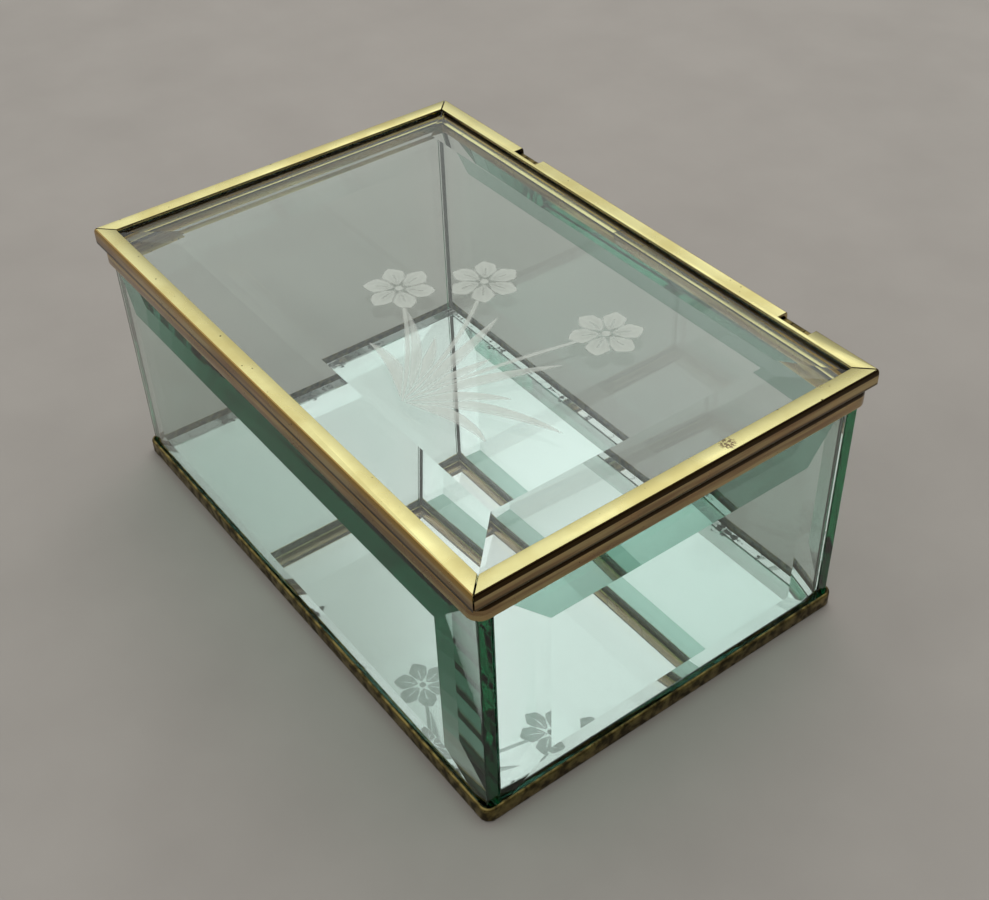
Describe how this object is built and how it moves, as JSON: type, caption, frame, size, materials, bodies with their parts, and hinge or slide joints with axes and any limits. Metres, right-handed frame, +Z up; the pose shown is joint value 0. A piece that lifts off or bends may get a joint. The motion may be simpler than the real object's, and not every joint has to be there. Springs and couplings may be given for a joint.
{
  "type": "jewelry box",
  "caption": "Low rectangular jewelry box of bevelled glass panes in brass channel, with a mirrored floor and a hinged bevelled glass lid etched with flowers.",
  "frame": {"origin": "under the middle of the box's overall outline, on the surface it stands on", "axes": "+X along the box's length, +Y from the opening side to the hinged side, +Z up"},
  "size_m": [0.153, 0.1024, 0.0692],
  "materials": {
    "brass": "polished, lightly worn",
    "base_brass": "tarnished, speckled",
    "clear_glass": "polished, green in its edges and bevels",
    "lid_glass": "polished, with a sandblasted flower spray",
    "mirror": "silvered at the back, chipped near the edges",
    "adhesive": "clear, set glue",
    "hinge_brass": "dull, unpolished"
  },
  "bodies": {
    "box_body": {"base_channel": "base_brass", "mirror": "mirror", "pane_front": "clear_glass", "pane_back": "clear_glass", "pane_left": "clear_glass", "pane_right": "clear_glass", "corner_adhesive_front_left": "adhesive", "corner_adhesive_front_right": "adhesive", "corner_adhesive_back_left": "adhesive", "corner_adhesive_back_right": "adhesive", "top_rim": "brass", "hinge_body_leaf_left": "hinge_brass", "hinge_body_leaf_right": "hinge_brass"},
    "lid": {"lid_frame_front": "brass", "lid_frame_back": "brass", "lid_frame_left": "brass", "lid_frame_right": "brass", "lid_glass": "lid_glass", "hinge_lid_leaf_left": "hinge_brass", "hinge_lid_leaf_right": "hinge_brass", "hinge_pin_left": "hinge_brass", "hinge_pin_right": "hinge_brass"}
  },
  "joints": [
    {"name": "lid_hinge", "type": "hinge", "parent": "box_body", "child": "lid", "pos_m": [0, 0.0502, 0.0664], "axis": [-1, 0, 0], "range_deg": [0, 110]}
  ]
}
